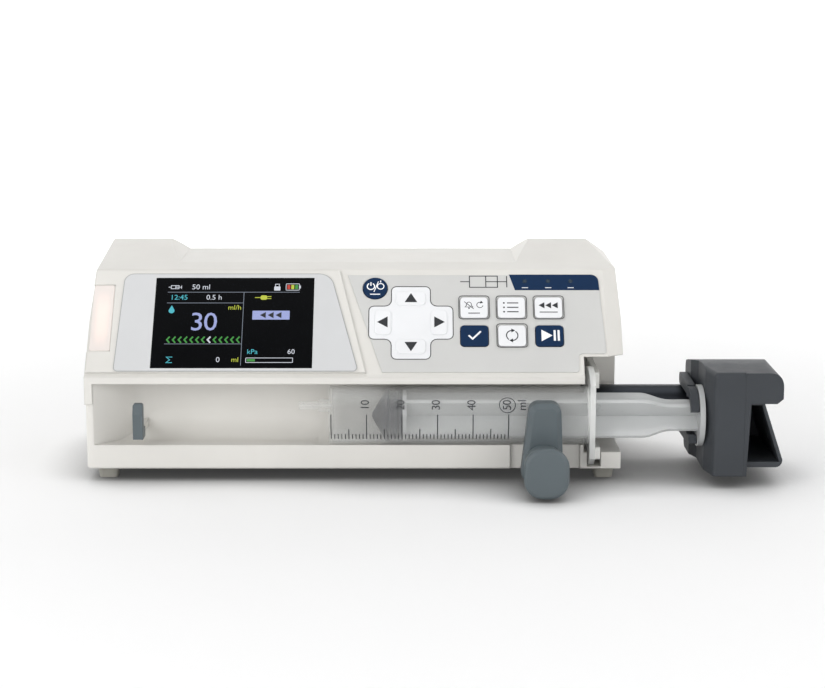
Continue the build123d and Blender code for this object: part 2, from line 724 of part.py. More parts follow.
shaft_radius = 2.5
with BuildPart() as motor_pinion:
    # twelve teeth at a phase of half a tooth leave a gap straight down, over the gear's tooth
    with BuildSketch(Plane((gear_left, screw_y, motor_z), x_dir=(0, 1, 0), z_dir=(1, 0, 0))):
        with BuildLine():
            Polyline(*gear_outline(pinion_teeth, 0.5), close=True)
        make_face()
    extrude(amount=gear_face)
    rod_x(frame_left - 12, gear_left + 1, screw_y, motor_z, shaft_radius)
motor_pinion.part.label = "motor_pinion"
export_step(motor_pinion.part, "parts/motor_pinion.step")

motor_size = 34.0
with BuildPart() as stepper_motor:
    block(frame_left - 30, frame_left, screw_y - motor_size / 2, screw_y + motor_size / 2,
          motor_z - motor_size / 2, motor_z + motor_size / 2)
    chamfer(stepper_motor.edges().filter_by(Axis.X), 3)
    rod_x(frame_left - 14, frame_left + 1, screw_y, motor_z, shaft_radius + running, mode=Mode.SUBTRACT)
stepper_motor.part.label = "stepper_motor"
export_step(stepper_motor.part, "parts/stepper_motor.step")

# ---------------------------------------------------------------- tube bushing, hook and flange clip
with BuildPart() as tube_bushing:
    rod_x(notch_x - wall - 4, notch_x, tube_y, tube_z, tube_radius + 1.5)
    rod_x(notch_x, notch_x + 1, tube_y, tube_z, tube_radius + 2.5)
    rod_x(notch_x - wall - 5, notch_x + 2, tube_y, tube_z, tube_radius + running, mode=Mode.SUBTRACT)
tube_bushing.part.label = "tube_bushing"
export_step(tube_bushing.part, "parts/tube_bushing.step")

with BuildPart() as tube_hook:
    with BuildSketch(Plane.YZ.offset(hook_left)):
        with BuildLine():
            Polyline(
                (hook_front + hook_depth, hook_bottom + 5),
                (hook_front + hook_depth, hook_bottom),
                (hook_front, hook_bottom),
                (hook_front, 36.5),
                (hook_front + 2.2, 41.5),
                (hook_front + 5.0, 41.5),
                (hook_front + 5.0, hook_bottom + 5),
                close=True,
            )
        make_face()
    extrude(amount=hook_width)
    fillet(tube_hook.faces().sort_by(Axis.Z)[-1].edges().filter_by(Axis.Y), 1.2)
tube_hook.part.label = "tube_hook"
export_step(tube_hook.part, "parts/tube_hook.step")

clip_left = flange_right + fit
clip_right = clip_left + 3.0
with BuildPart() as flange_clip:
    block(clip_left, clip_right, case_front + 9, notch_back_y, 46.4, 54.4)
    block(clip_left, clip_right, case_front - 2.5, case_front + 27, 11.8, 18.2)
    block(clip_left, clip_right, case_front + 27, notch_back_y, notch_floor_z, 17.5)
    block(clip_left, clip_right, notch_back_y - 3, notch_back_y, notch_floor_z, 54.4)
    fillet(flange_clip.edges().filter_by(Axis.X).sort_by(Axis.Y)[:2], 1.2)
flange_clip.part.label = "flange_clip"
export_step(flange_clip.part, "parts/flange_clip.step")

# ---------------------------------------------------------------- syringe
nozzle_rise = 5.0
with BuildPart() as syringe_barrel:
    rod_x(barrel_left, barrel_right, syringe_y, syringe_z, barrel_radius)
    with BuildSketch(Plane.YZ.offset(flange_left)):
        with Locations((syringe_y, syringe_z)):
            Circle(25)
            Rectangle(33, 60, mode=Mode.INTERSECT)
    extrude(amount=flange_right - flange_left)
    rod_x(-67.5, barrel_left, syringe_y, syringe_z + nozzle_rise, 2.1)
    rod_x(-57.5, barrel_left, syringe_y, syringe_z + nozzle_rise, 3.2)
    rod_x(barrel_left + 1.5, flange_right + 1, syringe_y, syringe_z, barrel_bore, mode=Mode.SUBTRACT)
    rod_x(-68, barrel_left + 2, syringe_y, syringe_z + nozzle_rise, 1.0, mode=Mode.SUBTRACT)
syringe_barrel.part.label = "syringe_barrel"
export_step(syringe_barrel.part, "parts/syringe_barrel.step")

piston_radius = barrel_bore - fit
groove = 1.0
with BuildPart() as piston:
    with BuildSketch(Plane((0, syringe_y, syringe_z), x_dir=(1, 0, 0), z_dir=(0, -1, 0))):
        with BuildLine():
            Polyline(
                (piston_right - 15.6, 0),
                (piston_right - 15.2, 1.6),
                (piston_right - 8.5, piston_radius),
                (piston_right - 6.8, piston_radius),
                (piston_right - 6.2, piston_radius - groove),
                (piston_right - 2.6, piston_radius - groove),
                (piston_right - 2.0, piston_radius),
                (piston_right, piston_radius),
                (piston_right, 0),
                close=True,
            )
        make_face()
    revolve(axis=Axis((0, syringe_y, syringe_z), (1, 0, 0)))
piston.part.label = "piston"
export_step(piston.part, "parts/piston.step")

rib_radius = 12.9
rib_end_radius = 8.8
rib_neck_left, rib_neck_right = 105.0, 121.0
rib_gauge = 2.0
with BuildPart() as plunger_rod:
    for angle in (45, -45):
        rib_plane = Plane((0, syringe_y, syringe_z), x_dir=(1, 0, 0),
                          z_dir=(0, -math.sin(math.radians(angle)), math.cos(math.radians(angle))))
        with BuildSketch(rib_plane):
            for side in (1, -1):
                with BuildLine():
                    Polyline((disc_left, 0), (piston_right, 0), (piston_right, side * rib_radius),
                             (rib_neck_left, side * rib_radius))
                    Spline((rib_neck_left, side * rib_radius), (rib_neck_right, side * rib_end_radius),
                           tangents=((1, 0), (1, 0)))
                    Polyline((rib_neck_right, side * rib_end_radius), (disc_left, side * rib_end_radius),
                             (disc_left, 0))
                make_face()
        extrude(amount=rib_gauge / 2, both=True)
    rod_x(piston_right, piston_right + 2, syringe_y, syringe_z, rib_radius)
    rod_x(disc_left, disc_right, syringe_y, syringe_z, 15.6)
plunger_rod.part.label = "plunger_rod"
export_step(plunger_rod.part, "parts/plunger_rod.step")

# ---------------------------------------------------------------- driver: carriage, tube and head
nut_gap = 3.3
with BuildPart() as carriage:
    block(carriage_left, carriage_right, tube_y - 11.5, guide_y + 8, 22, 45)
    block(carriage_left - 1, carriage_right + 1, screw_y - 17, screw_y + 8, tube_z - 7, tube_z + 7,
          mode=Mode.SUBTRACT)
    rod_x(carriage_left - 1, carriage_right + 1, guide_y, tube_z, guide_radius + running, mode=Mode.SUBTRACT)
    rod_x(carriage_left - 1, carriage_right + 1, tube_y, tube_z, tube_radius, mode=Mode.SUBTRACT)
    chamfer(carriage.edges().filter_by(Axis.X).group_by(Axis.Z)[-1], 1.5)
carriage.part.label = "carriage"
export_step(carriage.part, "parts/carriage.step")

with BuildPart() as half_nut:
    block(carriage_left + 5, carriage_right - 5, screw_y - 13, screw_y - 0.5, tube_z - 6.7, tube_z + 6.7)
    rod_x(carriage_left, carriage_right, screw_y, tube_z, screw_radius + running, mode=Mode.SUBTRACT)
half_nut.part.label = "half_nut"
export_step(half_nut.part, "parts/half_nut.step")

tube_end = 150.0
with BuildPart() as drive_tube:
    rod_x(carriage_left, tube_end, tube_y, tube_z, tube_radius)
    rod_x(carriage_left - 1, tube_end + 1, tube_y, tube_z, tube_radius - 2, mode=Mode.SUBTRACT)
drive_tube.part.label = "drive_tube"
export_step(drive_tube.part, "parts/drive_tube.step")

with BuildPart() as release_rod:
    rod_x(carriage_left + 1, tube_end, tube_y, tube_z, 3)
    rod_x(carriage_left + 4, carriage_left + 10, tube_y, tube_z, 6.5)
    rod_x(tube_end - 8, tube_end - 2, tube_y, tube_z, 6.5)
release_rod.part.label = "release_rod"
export_step(release_rod.part, "parts/release_rod.step")

claw_y = tube_y
claw_rise = 12.6
claw_shaft = 2.2
head_wall = 2.5
cheek_x = 3.0
cheek_y = 14.0
bulge = 2.8
bulge_y = tube_y - 15.0

# space over the head, which cuts its top to a shallow curve, lower at the back
with BuildPart() as crown_space:
    with BuildSketch(Plane.YZ.offset(head_left - 5)):
        with BuildLine():
            ThreePointArc((head_front, head_top), (head_crown_y, head_crown_z), (head_back, head_back_z))
            Polyline((head_back, head_back_z), (head_back + 1, head_back_z), (head_back + 1, head_top + 2),
                     (head_front - 1, head_top + 2), (head_front - 1, head_top), (head_front, head_top))
        make_face()
    extrude(amount=hood_right - head_left + 6)

with BuildPart() as head_shell:
    # the left side slopes to the front, so the head looks slimmer than it is
    with BuildSketch(Plane.XY.offset(head_bottom)):
        with BuildLine():
            Polyline(
                (head_left + cheek_x, head_front),
                (head_seam, head_front),
                (head_seam, head_back),
                (head_left - bulge, head_back),
                (head_left - bulge, bulge_y + 8),
                (head_left, bulge_y),
                (head_left, head_front + cheek_y),
                close=True,
            )
        make_face()
    extrude(amount=head_top - head_bottom)
    add(crown_space.part, mode=Mode.SUBTRACT)
    fillet(head_shell.edges().filter_by(Axis.X).group_by(Axis.Y)[0].sort_by(Axis.Z)[-1], 2.5)
    fillet(head_shell.edges().filter_by(Axis.X).group_by(Axis.Y)[-1], 4)
    fillet(head_shell.edges().filter_by(Axis.Z).group_by(Axis.X)[-2], 2)
    block(head_left + head_wall, head_seam, head_front + head_wall + cheek_x, head_back - head_wall,
          head_bottom + head_wall, hollow_top, mode=Mode.SUBTRACT)
    block(head_left + head_wall + cheek_x, head_seam, head_front + head_wall, head_front + cheek_y,
          head_bottom + head_wall, hollow_top, mode=Mode.SUBTRACT)
    rod_x(head_left - 5, head_left + 4, tube_y, tube_z, tube_radius, mode=Mode.SUBTRACT)
    for rise in (claw_rise, -claw_rise):
        rod_x(head_left - 5, head_left + 4, claw_y, tube_z + rise, claw_shaft + running, mode=Mode.SUBTRACT)
head_shell.part.label = "head_shell"
export_step(head_shell.part, "parts/head_shell.step")

lever_front = head_front + 4.0
lever_back = head_back - 4.0
pin_radius = 2.0
cover_foot = 1.5
with BuildPart() as head_cover:
    with BuildSketch(Plane.XZ.offset(-head_back)):
        with BuildLine():
            Polyline((head_seam, head_top), (head_seam, head_bottom), (head_seam + cover_foot, head_bottom),
                     (cover_right, hood_z), (hood_right - 3, hood_z), (hood_right, hood_z + 2.5),
                     (hood_right, hood_z + 8))
            Spline((hood_right, hood_z + 8), (hood_right - 7, head_top), tangents=((0, 1), (-1, 0)))
            Polyline((hood_right - 7, head_top), (head_seam, head_top))
        make_face()
    extrude(amount=head_back - head_front)
    add(crown_space.part, mode=Mode.SUBTRACT)
    # window for the lever, and the hood's hollow
    block(head_seam - 1, cover_right + 1, head_front + head_wall, head_back - head_wall,
          head_bottom + head_wall, hood_z + 2, mode=Mode.SUBTRACT)
    block(head_seam - 1, hood_right - 3, head_front + head_wall, head_back - head_wall,
          hood_z - 1, hollow_top, mode=Mode.SUBTRACT)
    rod_y(lever_x, head_front + 1.2, head_back - 1.2, lever_z, pin_radius, mode=Mode.SUBTRACT)
head_cover.part.label = "head_cover"
export_step(head_cover.part, "parts/head_cover.step")

with BuildPart() as lever_pin:
    rod_y(lever_x, head_front + 1.2, head_back - 1.2, lever_z, pin_radius)
lever_pin.part.label = "lever_pin"
export_step(lever_pin.part, "parts/lever_pin.step")

lever_wall = 1.5
lever_lip = 2.8
lever_right = 175.0
lever_bottom = 10.2
lever_toe = 152.5
hollow_left = 140.0
with BuildSketch(Plane.XZ.offset(-lever_back)) as lever_outline:
    with BuildLine():
        Polyline(
            (lever_toe, lever_bottom),
            (lever_right, lever_bottom),
            (lever_right, lever_bottom + 4),
            (lever_x + 5.5, lever_z - 5),
            (lever_x + 3.5, lever_z + 3.0),
            (lever_x - 3.5, lever_z + 3.0),
            (lever_x - 3.5, lever_z - 5),
            close=True,
        )
    make_face()
    fillet(lever_outline.vertices().group_by(Axis.Y)[0].sort_by(Axis.X)[-1], 3.5)

with BuildPart() as release_lever:
    extrude(lever_outline.sketch, amount=lever_back - lever_front)
    # open hollow towards the head and the front
    with BuildSketch(Plane.XZ.offset(-lever_back + lever_wall)):
        with BuildLine():
            Polyline(
                (hollow_left, lever_bottom + lever_lip),
                (lever_right - lever_wall, lever_bottom + lever_lip),
                (lever_x + 5.5 - lever_wall, lever_z - 5.5),
                (hollow_left, lever_z - 5.5),
                close=True,
            )
        make_face()
    extrude(amount=lever_back - lever_front + 2, mode=Mode.SUBTRACT)
    block(hollow_left, lever_x - 3.5, lever_front - 1, lever_back + 1, lever_bottom + lever_lip, lever_z + 5,
          mode=Mode.SUBTRACT)
    rod_y(lever_x, lever_front - 1, lever_back + 1, lever_z, pin_radius + running, mode=Mode.SUBTRACT)
release_lever.part.label = "release_lever"
export_step(release_lever.part, "parts/release_lever.step")

# claws that hold the thumb disc against the head
claw_left = 129.7
claw_right = disc_left - fit
claw_inner = 10.0
claw_outer = 14.6
claw_eye = 3.1
for name, side, start, span in (("claw_upper", 1, 55, 105), ("claw_lower", -1, 40, 75)):
    with BuildPart() as claw:
        with BuildSketch(Plane((claw_left, syringe_y, syringe_z), x_dir=(0, 1, 0), z_dir=(1, 0, 0))):
            with BuildLine():
                outer = CenterArc((0, 0), claw_outer, side * start, side * span)
                inner = CenterArc((0, 0), claw_inner, side * start, side * span)
                Line(outer @ 0, inner @ 0)
                Line(outer @ 1, inner @ 1)
            make_face()
        extrude(amount=claw_right - claw_left)
        arm_z = tube_z + side * claw_rise
        ring_z = syringe_z + side * 12.3
        with BuildSketch(Plane.YZ.offset(claw_left)):
            with BuildLine():
                Polyline(
                    (claw_y, arm_z + claw_eye),
                    (syringe_y + 4, ring_z + 2.6),
                    (syringe_y + 4, ring_z - 2.6),
                    (claw_y, arm_z - claw_eye),
                    close=True,
                )
            make_face()
            with Locations((claw_y, arm_z)):
                Circle(claw_eye)
            with Locations((syringe_y, syringe_z)):
                Circle(claw_inner, mode=Mode.SUBTRACT)
        extrude(amount=claw_right - claw_left)
        rod_x(claw_right - 1, head_left + 8, claw_y, arm_z, claw_shaft)
    claw.part.label = name
    export_step(claw.part, f"parts/{name}.step")

# ---------------------------------------------------------------- syringe clamp
bushing_inner = clamp_rod_radius + running
slider_front = 22.0
slider_back = 29.0
guide_front = -4.0
shaft_end = 32.0
with BuildPart() as clamp_guide:
    block(clamp_x - 8, clamp_x + 8, guide_front, guide_front + 3, floor_z, 20)
    for left in (clamp_x - 8, clamp_x + 6):
        block(left, left + 2, guide_front, slider_back + 4, floor_z, 20)
    rod_y(clamp_x, guide_front - 1, guide_front + 4, clamp_z, bushing_inner, mode=Mode.SUBTRACT)
clamp_guide.part.label = "clamp_guide"
export_step(clamp_guide.part, "parts/clamp_guide.step")

with BuildPart() as clamp_slider:
    block(clamp_x - 5.7, clamp_x + 5.7, slider_front, slider_back, floor_z + fit, 19.5)
    rod_y(clamp_x, slider_front - 1, slider_back + 1, clamp_z, bushing_inner, mode=Mode.SUBTRACT)
clamp_slider.part.label = "clamp_slider"
export_step(clamp_slider.part, "parts/clamp_slider.step")

spring_radius = 3.55
spring_wire = 0.5
spring_front = guide_front + 3 + spring_wire
spring_back = slider_front - spring_wire - 2.2
spring_length = spring_back - spring_front
spring_turns = 6
with BuildPart() as clamp_spring:
    coil = Helix(pitch=spring_length / spring_turns, height=spring_length, radius=spring_radius,
                 center=(clamp_x, spring_front, clamp_z), direction=(0, 1, 0), mode=Mode.PRIVATE)
    with BuildSketch(Plane(origin=coil @ 0, z_dir=coil % 0)):
        Circle(spring_wire)
    sweep(path=coil, is_frenet=True)
clamp_spring.part.label = "clamp_spring"
export_step(clamp_spring.part, "parts/clamp_spring.step")

knob_back = knob_front + 10.0
arm_front = clamp_back_y - 10.5
with BuildPart() as clamp_shaft:
    rod_y(clamp_x, knob_back - 4, shaft_end, clamp_z, clamp_rod_radius)
    rod_y(clamp_x, slider_front - 1.8, slider_front - fit, clamp_z, clamp_rod_radius + 1.2)
    rod_y(clamp_x, slider_back + fit, slider_back + 1.8, clamp_z, clamp_rod_radius + 1.2)
clamp_shaft.part.label = "clamp_shaft"
export_step(clamp_shaft.part, "parts/clamp_shaft.step")

arm_top = 44.0
arm_foot = 4.0
arm_waist = 20.0
with BuildPart() as clamp_arm:
    with BuildSketch(Plane.XZ.offset(-clamp_back_y)) as arm_back:
        with BuildLine():
            Polyline(
                (clamp_x - 11.6, arm_foot),
                (clamp_x - 9.8, arm_waist),
                (clamp_x - 7.0, arm_top),
                (clamp_x + 8.4, arm_top),
                (clamp_x + 9.4, arm_waist),
                (clamp_x + 9.6, arm_foot),
                close=True,
            )
        make_face()
        fillet(arm_back.vertices().group_by(Axis.Y)[-1], 5)
        fillet(arm_back.vertices().group_by(Axis.Y)[0], 5)
    extrude(amount=clamp_back_y - arm_front)
    chamfer(clamp_arm.faces().sort_by(Axis.Y)[0].edges(), 2.5)
    rod_y(clamp_x, arm_front - 1, clamp_back_y + 1, clamp_z, clamp_rod_radius, mode=Mode.SUBTRACT)
clamp_arm.part.label = "clamp_arm"
export_step(clamp_arm.part, "parts/clamp_arm.step")

knob_lift = 1.0
with BuildPart() as clamp_knob:
    with BuildSketch(Plane.XZ.offset(-arm_front)) as knob_outline:
        with Locations((clamp_x, clamp_z)):
            RectangleRounded(19.0, 20.0, 8.5)
    with BuildSketch(Plane.XZ.offset(-knob_front)) as knob_face:
        with Locations((clamp_x, clamp_z + knob_lift)):
            RectangleRounded(22.4, 25.8, 9.5)
    loft([knob_outline.sketch, knob_face.sketch])
    fillet(clamp_knob.faces().sort_by(Axis.Y)[0].edges(), 2.2)
    rod_y(clamp_x, knob_back - 4, arm_front + 1, clamp_z, clamp_rod_radius, mode=Mode.SUBTRACT)
clamp_knob.part.label = "clamp_knob"
export_step(clamp_knob.part, "parts/clamp_knob.step")
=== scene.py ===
import json
import math

import bmesh
import bpy
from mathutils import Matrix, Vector


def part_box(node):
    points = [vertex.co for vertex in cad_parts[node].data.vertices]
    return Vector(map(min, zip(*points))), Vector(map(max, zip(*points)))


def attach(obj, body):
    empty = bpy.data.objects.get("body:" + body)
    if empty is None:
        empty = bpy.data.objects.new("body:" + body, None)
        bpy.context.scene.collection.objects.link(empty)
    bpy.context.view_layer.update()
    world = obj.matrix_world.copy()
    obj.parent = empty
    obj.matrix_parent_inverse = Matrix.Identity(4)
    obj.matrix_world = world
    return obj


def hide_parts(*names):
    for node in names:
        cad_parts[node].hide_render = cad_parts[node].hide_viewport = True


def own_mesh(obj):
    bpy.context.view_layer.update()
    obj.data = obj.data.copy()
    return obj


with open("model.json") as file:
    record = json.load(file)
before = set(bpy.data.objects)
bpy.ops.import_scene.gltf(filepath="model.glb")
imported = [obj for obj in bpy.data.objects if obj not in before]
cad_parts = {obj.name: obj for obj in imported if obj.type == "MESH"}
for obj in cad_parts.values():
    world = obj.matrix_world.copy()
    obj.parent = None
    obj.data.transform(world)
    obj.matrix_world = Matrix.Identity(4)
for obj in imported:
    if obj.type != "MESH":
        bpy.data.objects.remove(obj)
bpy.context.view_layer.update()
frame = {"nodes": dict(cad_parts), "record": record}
MM = 0.001
INK = 0.03 * MM


def joint(name):
    """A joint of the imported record."""
    return next(j for j in frame["record"]["behaviour"]["joints"] if j["name"] == name)


# ---------------------------------------------------------------- materials
PATCH_SCALE = 22.0
RUB_SCALE = 70.0
RELIEF = 0.1 * MM


def tone(red, green, blue):
    """Linear colour from an 8-bit sRGB one."""
    return [((c / 255 + 0.055) / 1.055) ** 2.4 if c > 10 else c / 255 / 12.92 for c in (red, green, blue)]


def shader(name):
    material = bpy.data.materials.new(name)
    material.use_nodes = True
    tree = material.node_tree
    return material, tree, tree.nodes["Principled BSDF"]


def settle(node, **settings):
    """Sets sockets, written with _ for a space, and other properties of a node."""
    for key, value in settings.items():
        socket = key.replace("_", " ")
        if socket in node.inputs:
            node.inputs[socket].default_value = value
        else:
            setattr(node, key, value)


def add_node(tree, kind, **settings):
    node = tree.nodes.new("ShaderNode" + kind)
    settle(node, **settings)
    return node


def spread(tree, source, low, high, start=0.25, end=0.75, **settings):
    """A value that goes from low to high as the source goes from start to end."""
    node = add_node(tree, "MapRange", From_Min=start, From_Max=end, To_Min=low, To_Max=high, **settings)
    tree.links.new(source, node.inputs["Value"])
    return node.outputs["Result"]


def add_bump(tree, bsdf, height, strength, distance=RELIEF):
    relief = add_node(tree, "Bump", Strength=strength, Distance=distance)
    tree.links.new(height, relief.inputs["Height"])
    tree.links.new(relief.outputs["Normal"], bsdf.inputs["Normal"])
    return relief


def plastic(name, colour, roughness=0.45, grain=1400.0, bump=0.10, patch=0.03, edge=0.5, **sockets):
    """Moulded plastic: a fine spark-eroded grain, faint colour patches, uneven gloss and softened edges."""
    material, tree, bsdf = shader(name)
    link = tree.links.new
    place = add_node(tree, "TexCoord")
    fine = add_node(tree, "TexNoise", Scale=grain, Detail=2.0, Roughness=0.6)
    wide = add_node(tree, "TexNoise", Scale=PATCH_SCALE, Detail=4.0, Roughness=0.55)
    rubs = add_node(tree, "TexNoise", Scale=RUB_SCALE, Detail=6.0, Roughness=0.75)
    for noise in (fine, wide, rubs):
        link(place.outputs["Object"], noise.inputs["Vector"])
    shade = add_node(tree, "ValToRGB")
    dark, pale = shade.color_ramp.elements
    dark.color = [c * (1 - patch) for c in colour] + [1]
    pale.color = [min(1.0, c * (1 + patch)) for c in colour] + [1]
    dark.position, pale.position = 0.3, 0.7
    link(wide.outputs["Fac"], shade.inputs["Fac"])
    link(shade.outputs["Color"], bsdf.inputs["Base Color"])
    link(spread(tree, rubs.outputs["Fac"], roughness - 0.06, roughness + 0.08), bsdf.inputs["Roughness"])
    relief = add_bump(tree, bsdf, fine.outputs["Fac"], bump)
    if edge:
        rounding = add_node(tree, "Bevel", samples=4, Radius=edge * MM)
        link(rounding.outputs["Normal"], relief.inputs["Normal"])
    settle(bsdf, **sockets)
    return material


def clear_plastic(name, colour, thin, thick, thick_from):
    """See-through moulded wall, milkier at grazing angles and in its thick flange beyond a point along X."""
    material, tree, bsdf = shader(name)
    link = tree.links.new
    place = add_node(tree, "TexCoord")
    split = add_node(tree, "SeparateXYZ")
    link(place.outputs["Object"], split.inputs["Vector"])
    facing = add_node(tree, "LayerWeight", Blend=0.25).outputs["Facing"]
    milk = add_node(tree, "Math", operation="MAXIMUM")
    link(spread(tree, facing, thin, thick, 0.0, 1.0), milk.inputs[0])
    link(spread(tree, split.outputs["X"], 0.0, thick, thick_from - MM, thick_from), milk.inputs[1])
    link(milk.outputs["Value"], bsdf.inputs["Alpha"])
    flow = add_node(tree, "TexNoise", Scale=60.0, Detail=2.0)
    link(place.outputs["Object"], flow.inputs["Vector"])
    link(spread(tree, flow.outputs["Fac"], 0.12, 0.22), bsdf.inputs["Roughness"])
    add_bump(tree, bsdf, flow.outputs["Fac"], 0.05)
    settle(bsdf, Base_Color=[*colour, 1])
    return material


def brushed(name, colour, roughness=0.32):
    """Drawn or turned metal with fine lines around or along X."""
    material, tree, bsdf = shader(name)
    link = tree.links.new
    place = add_node(tree, "TexCoord")
    stretch = add_node(tree, "Mapping", Scale=(40.0, 2500.0, 2500.0))
    lines = add_node(tree, "TexNoise", Scale=1.0, Detail=3.0)
    link(place.outputs["Object"], stretch.inputs["Vector"])
    link(stretch.outputs["Vector"], lines.inputs["Vector"])
    link(spread(tree, lines.outputs["Fac"], roughness - 0.1, roughness + 0.1), bsdf.inputs["Roughness"])
    add_bump(tree, bsdf, lines.outputs["Fac"], 0.08, RELIEF / 2)
    settle(bsdf, Base_Color=[*colour, 1], Metallic=1.0)
    return material


def lit(name, colour, strength):
    """A lit part of the screen, with the slight unevenness of its backlight."""
    material, tree, bsdf = shader(name)
    link = tree.links.new
    place = add_node(tree, "TexCoord")
    cells = add_node(tree, "TexNoise", Scale=2600.0, Detail=1.0)
    link(place.outputs["Object"], cells.inputs["Vector"])
    glow = spread(tree, cells.outputs["Fac"], strength * 0.85, strength * 1.1)
    link(glow, bsdf.inputs["Emission Strength"])
    settle(bsdf, Base_Color=(0.01, 0.01, 0.01, 1), Emission_Color=[*colour, 1], Roughness=0.3)
    return material


def glowing(name, colour, glow, strength, low, high):
    """A translucent lens lit from inside, brightest in the middle of its box."""
    material = plastic(name, colour, roughness=0.4, bump=0.03)
    tree = material.node_tree
    bsdf = tree.nodes["Principled BSDF"]
    link = tree.links.new
    place = add_node(tree, "TexCoord")
    split = add_node(tree, "SeparateXYZ")
    link(place.outputs["Object"], split.inputs["Vector"])
    both = add_node(tree, "Math", operation="MULTIPLY")
    for factor, (axis, index) in enumerate((("X", 0), ("Z", 2))):
        half = (high[index] - low[index]) / 2
        offset = add_node(tree, "Math", operation="SUBTRACT")
        offset.inputs[1].default_value = (low[index] + high[index]) / 2
        link(split.outputs[axis], offset.inputs[0])
        distance = add_node(tree, "Math", operation="ABSOLUTE")
        link(offset.outputs["Value"], distance.inputs[0])
        fall = spread(tree, distance.outputs["Value"], 0.0, 1.0, half, half * 0.2,
                      interpolation_type="SMOOTHSTEP")
        link(fall, both.inputs[factor])
    link(spread(tree, both.outputs["Value"], 0.0, strength, 0.0, 1.0), bsdf.inputs["Emission Strength"])
    settle(bsdf, Emission_Color=[*glow, 1])
    return material


barrel_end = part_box("syringe_barrel")[1][0]
flange_depth = 3 * MM

case_white = plastic("case_white_plastic", tone(213, 211, 206), edge=0.8)
trim_white = plastic("trim_white_plastic", tone(218, 218, 214), roughness=0.38, edge=0.3)
driver_grey = plastic("driver_grey_plastic", tone(61, 64, 68), roughness=0.5, grain=1100.0, bump=0.22,
                      patch=0.05, Specular_IOR_Level=0.2)
clamp_grey = plastic("clamp_grey_plastic", tone(84, 93, 97), roughness=0.42, grain=1100.0, bump=0.16,
                     patch=0.04, Specular_IOR_Level=0.4)
navy = plastic("navy_print", tone(4, 38, 72), roughness=0.4, bump=0.05, edge=0.25, Specular_IOR_Level=0.2)
key_white = plastic("key_white", tone(226, 227, 229), roughness=0.4, bump=0.05, edge=0.25)
overlay_grey = plastic("overlay_grey", tone(196, 196, 194), roughness=0.5, bump=0.12, edge=0.15)
label_grey = plastic("label_grey", tone(199, 200, 201), roughness=0.5, bump=0.12, edge=0.15)
window_black = plastic("window_black", tone(5, 6, 8), roughness=0.22, bump=0.01, edge=0.15,
                       Specular_IOR_Level=0.07)
tube_dark = brushed("tube_anodised", tone(58, 61, 66), 0.38)
steel = brushed("steel_plain", tone(190, 191, 193))
socket_black = plastic("socket_black", tone(30, 30, 32), roughness=0.5)
piston_rubber = plastic("piston_rubber", tone(20, 23, 36), roughness=0.45, bump=0.1, Specular_IOR_Level=0.3)
foot_rubber = plastic("foot_rubber", tone(160, 158, 150), roughness=0.75, bump=0.4, grain=700.0)
lens_glow = glowing("lens_white", tone(222, 214, 209), tone(255, 188, 160), 0.2, *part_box("alarm_light_lens"))
barrel_clear = clear_plastic("syringe_clear", tone(234, 235, 233), 0.09, 0.62, barrel_end - flange_depth)
plunger_clear = plastic("plunger_clear", tone(206, 208, 208), roughness=0.3, bump=0.02, edge=0.25, Alpha=0.72)
led_dark = plastic("led_dark", tone(26, 46, 62), roughness=0.25, bump=0.01, edge=0.1)
dark_ink = plastic("dark_ink", tone(34, 36, 40), roughness=0.55, bump=0.05, edge=0.0)
# painted shade: the grey of the line along the screen surround's edge
painted_edge_shade = plastic("painted_edge_shade", tone(150, 151, 152), roughness=0.5, bump=0.05, edge=0.0)
white_ink = plastic("white_ink", tone(240, 241, 243), roughness=0.5, bump=0.05, edge=0.0)
scale_ink = plastic("scale_ink", tone(38, 40, 44), roughness=0.4, bump=0.05, edge=0.0)

by_slot = {
    "case_white": case_white,
    "clip_white": trim_white,
    "driver_grey": driver_grey,
    "clamp_grey": clamp_grey,
    "navy": navy,
    "key_white": key_white,
    "overlay_grey": overlay_grey,
    "label_grey": label_grey,
    "led_clear": led_dark,
    "window_black": window_black,
    "lens_white": lens_glow,
    "tube_dark": tube_dark,
    "piston_rubber": piston_rubber,
    "syringe_clear": barrel_clear,
    "plunger_clear": plunger_clear,
    "foot_rubber": foot_rubber,
    "socket_black": socket_black,
}
for row in frame["record"]["subparts"]:
    mesh = frame["nodes"][row["node"]].data
    mesh.materials.clear()
    mesh.materials.append(by_slot.get(row["material_slot"], steel))


# ---------------------------------------------------------------- places and ink on the sloped panel
ACROSS = Vector((1, 0, 0))
OUT = -Vector(joint("ok_press")["axis"]).normalized()
UP = OUT.cross(ACROSS)


class Face:
    """The top of a CAD node on the panel, measured across, up and out of it, in mm from its middle."""

    def __init__(self, node):
        points = [v.co for v in frame["nodes"][node].data.vertices]
        spans = [(min(p.dot(a) for p in points), max(p.dot(a) for p in points)) for a in (ACROSS, UP, OUT)]
        self.width = (spans[0][1] - spans[0][0]) / MM
        self.height = (spans[1][1] - spans[1][0]) / MM
        middle = [(low + high) / 2 for low, high in spans[:2]]
        self.origin = ACROSS * middle[0] + UP * middle[1] + OUT * spans[2][1]

    def at(self, across, up, out):
        """The place of a point across and up in mm, and out in metres."""
        return self.origin + (ACROSS * across + UP * up) * MM + OUT * out

    def to(self, point):
        """How far a point is across and up from the middle, in mm."""
        return (point - self.origin).dot(ACROSS) / MM, (point - self.origin).dot(UP) / MM


